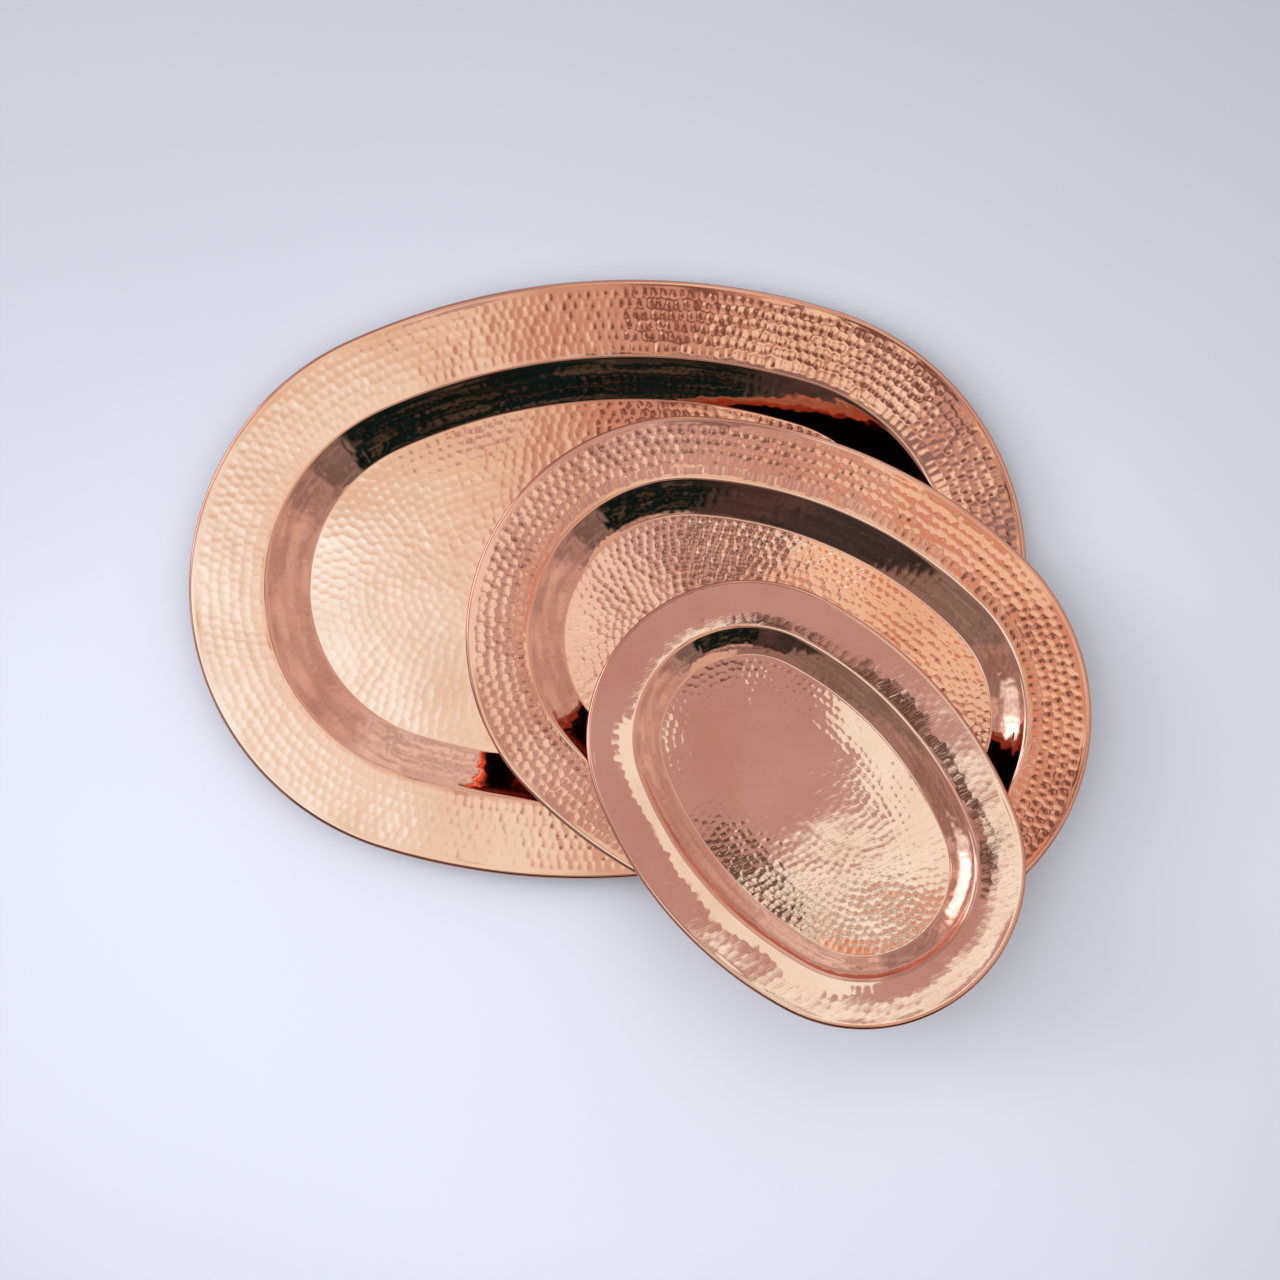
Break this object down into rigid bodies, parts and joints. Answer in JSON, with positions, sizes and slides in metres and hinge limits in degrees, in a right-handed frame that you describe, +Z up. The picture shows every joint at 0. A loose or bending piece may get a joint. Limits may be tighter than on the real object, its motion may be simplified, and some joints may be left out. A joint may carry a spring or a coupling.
{
  "type": "hammered copper tray set",
  "caption": "Graduated oval serving trays of hammered copper sheet, with wide rims, sloping walls and wired edges, lying one on another.",
  "frame": {"origin": "middle of the large tray's flat underside, on the surface that it stands on", "axes": "+Z up out of the trays, +X along the stack's longest side, 3.6 degrees from the large tray's long axis, towards the two smaller trays; +Y away from the smaller trays"},
  "size_m": [0.6568, 0.5413, 0.0943],
  "materials": {
    "large_sheet": "hand-hammered and polished copper",
    "medium_sheet": "hand-hammered and polished copper",
    "small_sheet": "hand-hammered and polished copper",
    "wire": "drawn iron wire, hidden in the rolled edge"
  },
  "bodies": {
    "large": {"large_tray": "large_sheet", "large_rim_wire": "wire"},
    "medium": {"medium_tray": "medium_sheet", "medium_rim_wire": "wire"},
    "small": {"small_tray": "small_sheet", "small_rim_wire": "wire"}
  },
  "joints": [
    {"name": "medium_tray_lift", "type": "slide", "parent": "large", "child": "medium", "axis": [0, 0, 1], "range_m": [0, 0.12]},
    {"name": "small_tray_lift", "type": "slide", "parent": "medium", "child": "small", "axis": [0, 0, 1], "range_m": [0, 0.12]}
  ]
}
